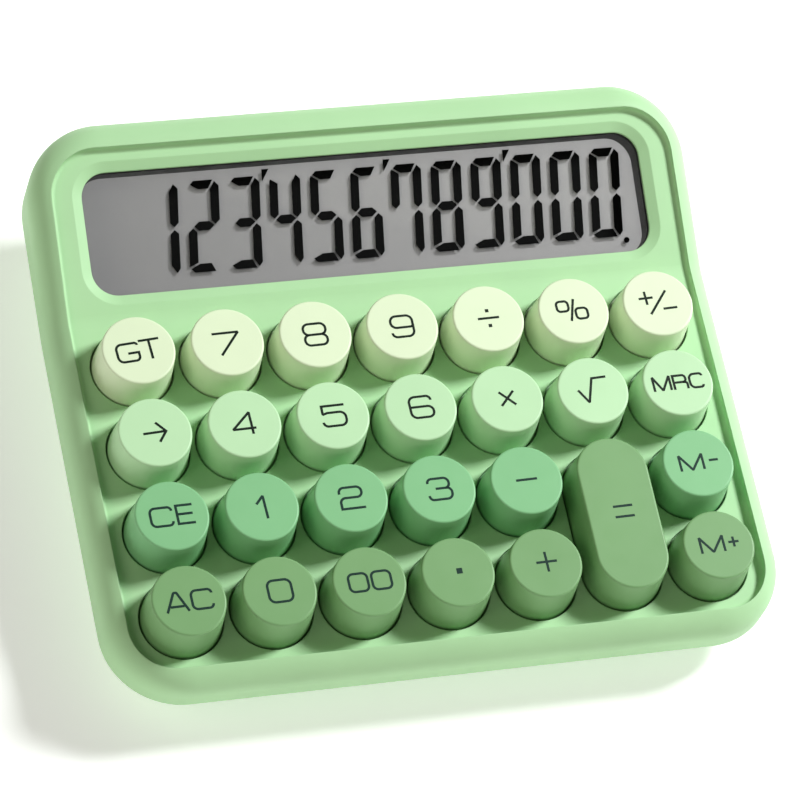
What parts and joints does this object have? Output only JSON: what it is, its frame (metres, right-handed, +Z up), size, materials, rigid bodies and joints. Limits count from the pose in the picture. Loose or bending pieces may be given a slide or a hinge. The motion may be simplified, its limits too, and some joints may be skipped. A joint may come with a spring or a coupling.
{
  "type": "desktop calculator",
  "caption": "Desktop electronic calculator in pastel green plastic with tall round typewriter-style keys, a tilted segment display and a sliding battery door.",
  "frame": {"origin": "middle of the bottom, on the surface that the rubber feet rest on", "axes": "+X to the right as the user sees it, +Y towards the display and the back, +Z up"},
  "size_m": [0.1466, 0.127, 0.0394],
  "materials": {
    "case_green": "fine satin moulding, pastel green",
    "key_cream": "satin moulding, cream green",
    "key_mint": "satin moulding, pale mint",
    "key_green": "satin moulding, mid green",
    "key_olive": "satin moulding, olive green",
    "foot_rubber": "matt black",
    "screw_steel": "plated",
    "lens_acrylic": "clear, polished",
    "dark_plastic": "matt",
    "lcd_glass": "clear, with a polariser",
    "reflector_film": "pale grey film",
    "foam": "closed-cell foam",
    "contact_rubber": "striped elastomer",
    "circuit_board": "solder mask on glass epoxy",
    "dome_silicone": "translucent white silicone",
    "chip_resin": "black resin",
    "ribbon_film": "white film with traces",
    "cell_jacket": "printed jacket, plain",
    "contact_steel": "nickel plated",
    "lead_red": "vinyl insulation",
    "lead_black": "vinyl insulation"
  },
  "bodies": {
    "root": {"top_case": "case_green", "bottom_case": "case_green", "rubber_feet": "foot_rubber", "case_screws": "screw_steel", "board_screws": "screw_steel", "display_screws": "screw_steel", "display_lens": "lens_acrylic", "display_frame": "dark_plastic", "key_guide": "dark_plastic", "lcd_cell": "lcd_glass", "lcd_reflector": "reflector_film", "foam_pad": "foam", "contact_strip": "contact_rubber", "display_board": "circuit_board", "key_board": "circuit_board", "dome_mat": "dome_silicone", "controller_chip": "chip_resin", "ribbon_cable": "ribbon_film", "battery_front": "cell_jacket", "battery_back": "cell_jacket", "battery_plates": "contact_steel", "battery_springs": "contact_steel", "battery_lead_red": "lead_red", "battery_lead_black": "lead_black"},
    "key_gt": {"key_gt": "key_cream"},
    "key_7": {"key_7": "key_cream"},
    "key_8": {"key_8": "key_cream"},
    "key_9": {"key_9": "key_cream"},
    "key_divide": {"key_divide": "key_cream"},
    "key_percent": {"key_percent": "key_cream"},
    "key_sign": {"key_sign": "key_cream"},
    "key_shift": {"key_shift": "key_mint"},
    "key_4": {"key_4": "key_mint"},
    "key_5": {"key_5": "key_mint"},
    "key_6": {"key_6": "key_mint"},
    "key_multiply": {"key_multiply": "key_mint"},
    "key_root": {"key_root": "key_mint"},
    "key_mrc": {"key_mrc": "key_mint"},
    "key_ce": {"key_ce": "key_green"},
    "key_1": {"key_1": "key_green"},
    "key_2": {"key_2": "key_green"},
    "key_3": {"key_3": "key_green"},
    "key_minus": {"key_minus": "key_green"},
    "key_m_minus": {"key_m_minus": "key_green"},
    "key_ac": {"key_ac": "key_olive"},
    "key_0": {"key_0": "key_olive"},
    "key_00": {"key_00": "key_olive"},
    "key_point": {"key_point": "key_olive"},
    "key_plus": {"key_plus": "key_olive"},
    "key_m_plus": {"key_m_plus": "key_olive"},
    "key_equals": {"key_equals": "key_olive"},
    "battery_door": {"battery_door": "case_green"}
  },
  "joints": [
    {"name": "key_gt_press", "type": "slide", "parent": "root", "child": "key_gt", "axis": [0, 0.0698, -0.9976], "range_m": [0, 0.0028], "stiffness_N_per_m": 100, "springref_m": -0.003, "deforming": ["dome_mat"]},
    {"name": "key_7_press", "type": "slide", "parent": "root", "child": "key_7", "axis": [0, 0.0698, -0.9976], "range_m": [0, 0.0028], "stiffness_N_per_m": 100, "springref_m": -0.003, "deforming": ["dome_mat"]},
    {"name": "key_8_press", "type": "slide", "parent": "root", "child": "key_8", "axis": [0, 0.0698, -0.9976], "range_m": [0, 0.0028], "stiffness_N_per_m": 100, "springref_m": -0.003, "deforming": ["dome_mat"]},
    {"name": "key_9_press", "type": "slide", "parent": "root", "child": "key_9", "axis": [0, 0.0698, -0.9976], "range_m": [0, 0.0028], "stiffness_N_per_m": 100, "springref_m": -0.003, "deforming": ["dome_mat"]},
    {"name": "key_divide_press", "type": "slide", "parent": "root", "child": "key_divide", "axis": [0, 0.0698, -0.9976], "range_m": [0, 0.0028], "stiffness_N_per_m": 100, "springref_m": -0.003, "deforming": ["dome_mat"]},
    {"name": "key_percent_press", "type": "slide", "parent": "root", "child": "key_percent", "axis": [0, 0.0698, -0.9976], "range_m": [0, 0.0028], "stiffness_N_per_m": 100, "springref_m": -0.003, "deforming": ["dome_mat"]},
    {"name": "key_sign_press", "type": "slide", "parent": "root", "child": "key_sign", "axis": [0, 0.0698, -0.9976], "range_m": [0, 0.0028], "stiffness_N_per_m": 100, "springref_m": -0.003, "deforming": ["dome_mat"]},
    {"name": "key_shift_press", "type": "slide", "parent": "root", "child": "key_shift", "axis": [0, 0.0698, -0.9976], "range_m": [0, 0.0028], "stiffness_N_per_m": 100, "springref_m": -0.003, "deforming": ["dome_mat"]},
    {"name": "key_4_press", "type": "slide", "parent": "root", "child": "key_4", "axis": [0, 0.0698, -0.9976], "range_m": [0, 0.0028], "stiffness_N_per_m": 100, "springref_m": -0.003, "deforming": ["dome_mat"]},
    {"name": "key_5_press", "type": "slide", "parent": "root", "child": "key_5", "axis": [0, 0.0698, -0.9976], "range_m": [0, 0.0028], "stiffness_N_per_m": 100, "springref_m": -0.003, "deforming": ["dome_mat"]},
    {"name": "key_6_press", "type": "slide", "parent": "root", "child": "key_6", "axis": [0, 0.0698, -0.9976], "range_m": [0, 0.0028], "stiffness_N_per_m": 100, "springref_m": -0.003, "deforming": ["dome_mat"]},
    {"name": "key_multiply_press", "type": "slide", "parent": "root", "child": "key_multiply", "axis": [0, 0.0698, -0.9976], "range_m": [0, 0.0028], "stiffness_N_per_m": 100, "springref_m": -0.003, "deforming": ["dome_mat"]},
    {"name": "key_root_press", "type": "slide", "parent": "root", "child": "key_root", "axis": [0, 0.0698, -0.9976], "range_m": [0, 0.0028], "stiffness_N_per_m": 100, "springref_m": -0.003, "deforming": ["dome_mat"]},
    {"name": "key_mrc_press", "type": "slide", "parent": "root", "child": "key_mrc", "axis": [0, 0.0698, -0.9976], "range_m": [0, 0.0028], "stiffness_N_per_m": 100, "springref_m": -0.003, "deforming": ["dome_mat"]},
    {"name": "key_ce_press", "type": "slide", "parent": "root", "child": "key_ce", "axis": [0, 0.0698, -0.9976], "range_m": [0, 0.0028], "stiffness_N_per_m": 100, "springref_m": -0.003, "deforming": ["dome_mat"]},
    {"name": "key_1_press", "type": "slide", "parent": "root", "child": "key_1", "axis": [0, 0.0698, -0.9976], "range_m": [0, 0.0028], "stiffness_N_per_m": 100, "springref_m": -0.003, "deforming": ["dome_mat"]},
    {"name": "key_2_press", "type": "slide", "parent": "root", "child": "key_2", "axis": [0, 0.0698, -0.9976], "range_m": [0, 0.0028], "stiffness_N_per_m": 100, "springref_m": -0.003, "deforming": ["dome_mat"]},
    {"name": "key_3_press", "type": "slide", "parent": "root", "child": "key_3", "axis": [0, 0.0698, -0.9976], "range_m": [0, 0.0028], "stiffness_N_per_m": 100, "springref_m": -0.003, "deforming": ["dome_mat"]},
    {"name": "key_minus_press", "type": "slide", "parent": "root", "child": "key_minus", "axis": [0, 0.0698, -0.9976], "range_m": [0, 0.0028], "stiffness_N_per_m": 100, "springref_m": -0.003, "deforming": ["dome_mat"]},
    {"name": "key_m_minus_press", "type": "slide", "parent": "root", "child": "key_m_minus", "axis": [0, 0.0698, -0.9976], "range_m": [0, 0.0028], "stiffness_N_per_m": 100, "springref_m": -0.003, "deforming": ["dome_mat"]},
    {"name": "key_ac_press", "type": "slide", "parent": "root", "child": "key_ac", "axis": [0, 0.0698, -0.9976], "range_m": [0, 0.0028], "stiffness_N_per_m": 100, "springref_m": -0.003, "deforming": ["dome_mat"]},
    {"name": "key_0_press", "type": "slide", "parent": "root", "child": "key_0", "axis": [0, 0.0698, -0.9976], "range_m": [0, 0.0028], "stiffness_N_per_m": 100, "springref_m": -0.003, "deforming": ["dome_mat"]},
    {"name": "key_00_press", "type": "slide", "parent": "root", "child": "key_00", "axis": [0, 0.0698, -0.9976], "range_m": [0, 0.0028], "stiffness_N_per_m": 100, "springref_m": -0.003, "deforming": ["dome_mat"]},
    {"name": "key_point_press", "type": "slide", "parent": "root", "child": "key_point", "axis": [0, 0.0698, -0.9976], "range_m": [0, 0.0028], "stiffness_N_per_m": 100, "springref_m": -0.003, "deforming": ["dome_mat"]},
    {"name": "key_plus_press", "type": "slide", "parent": "root", "child": "key_plus", "axis": [0, 0.0698, -0.9976], "range_m": [0, 0.0028], "stiffness_N_per_m": 100, "springref_m": -0.003, "deforming": ["dome_mat"]},
    {"name": "key_m_plus_press", "type": "slide", "parent": "root", "child": "key_m_plus", "axis": [0, 0.0698, -0.9976], "range_m": [0, 0.0028], "stiffness_N_per_m": 100, "springref_m": -0.003, "deforming": ["dome_mat"]},
    {"name": "key_equals_press", "type": "slide", "parent": "root", "child": "key_equals", "axis": [0, 0.0698, -0.9976], "range_m": [0, 0.0028], "stiffness_N_per_m": 100, "springref_m": -0.003, "deforming": ["dome_mat"]},
    {"name": "battery_door_slide", "type": "slide", "parent": "root", "child": "battery_door", "axis": [0, 1, 0], "range_m": [0, 0.028]}
  ]
}
